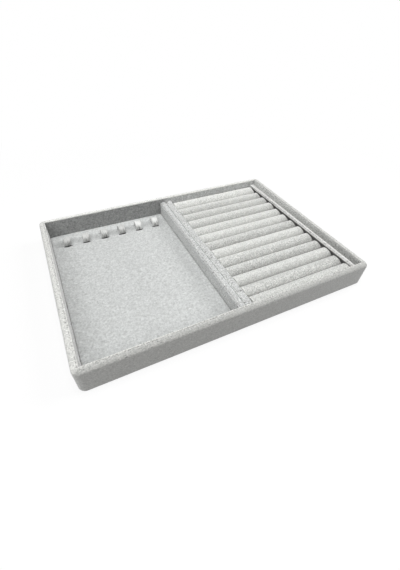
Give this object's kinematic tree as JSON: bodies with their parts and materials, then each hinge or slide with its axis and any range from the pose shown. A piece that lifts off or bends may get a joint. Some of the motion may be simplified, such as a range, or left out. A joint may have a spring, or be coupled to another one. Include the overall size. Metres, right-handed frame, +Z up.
{
  "type": "jewelry tray",
  "caption": "Low velvet-covered jewelry tray: a flat pad with strap loops for necklaces beside an insert of padded ring rolls; both lift out.",
  "frame": {"origin": "middle of the underside, on the surface the tray stands on", "axes": "+X along the tray's length to the ring side, +Y to the back where the strap loops are, +Z up"},
  "size_m": [0.35, 0.25, 0.03],
  "materials": {
    "velvet": "light grey crushed velvet",
    "board": "plain grey board",
    "foam": "soft open-cell foam",
    "lining_paper": "flocked paper"
  },
  "bodies": {
    "tray": {"tray_outer_wrap": "velvet", "front_wall_lining": "velvet", "back_wall_lining": "velvet", "left_wall_lining": "velvet", "right_wall_lining": "velvet", "divider_left_cover": "velvet", "divider_right_cover": "velvet", "tray_bottom_filler": "board", "tray_base_board": "board", "front_wall_board": "board", "back_wall_board": "board", "left_wall_board": "board", "right_wall_board": "board", "divider_board": "board", "tray_bottom_cover": "lining_paper"},
    "necklace_pad": {"necklace_pad_cover": "velvet", "necklace_loop_1": "velvet", "necklace_loop_2": "velvet", "necklace_loop_3": "velvet", "necklace_loop_4": "velvet", "necklace_loop_5": "velvet", "necklace_loop_6": "velvet", "necklace_pad_board": "board", "necklace_pad_backing": "board"},
    "ring_insert": {"ring_insert_left_cover": "velvet", "ring_insert_right_cover": "velvet", "ring_roll_01_sleeve": "velvet", "ring_roll_02_sleeve": "velvet", "ring_roll_03_sleeve": "velvet", "ring_roll_04_sleeve": "velvet", "ring_roll_05_sleeve": "velvet", "ring_roll_06_sleeve": "velvet", "ring_roll_07_sleeve": "velvet", "ring_roll_08_sleeve": "velvet", "ring_roll_09_sleeve": "velvet", "ring_roll_10_sleeve": "velvet", "ring_roll_11_sleeve": "velvet", "ring_roll_12_sleeve": "velvet", "ring_roll_13_sleeve": "velvet", "ring_insert_base": "board", "ring_insert_left_board": "board", "ring_insert_right_board": "board", "ring_roll_01_foam": "foam", "ring_roll_02_foam": "foam", "ring_roll_03_foam": "foam", "ring_roll_04_foam": "foam", "ring_roll_05_foam": "foam", "ring_roll_06_foam": "foam", "ring_roll_07_foam": "foam", "ring_roll_08_foam": "foam", "ring_roll_09_foam": "foam", "ring_roll_10_foam": "foam", "ring_roll_11_foam": "foam", "ring_roll_12_foam": "foam", "ring_roll_13_foam": "foam"}
  },
  "joints": [
    {"name": "necklace_pad_lift", "type": "slide", "parent": "tray", "child": "necklace_pad", "axis": [0, 0, 1], "range_m": [0, 0.035]},
    {"name": "ring_insert_lift", "type": "slide", "parent": "tray", "child": "ring_insert", "axis": [0, 0, 1], "range_m": [0, 0.035]}
  ]
}
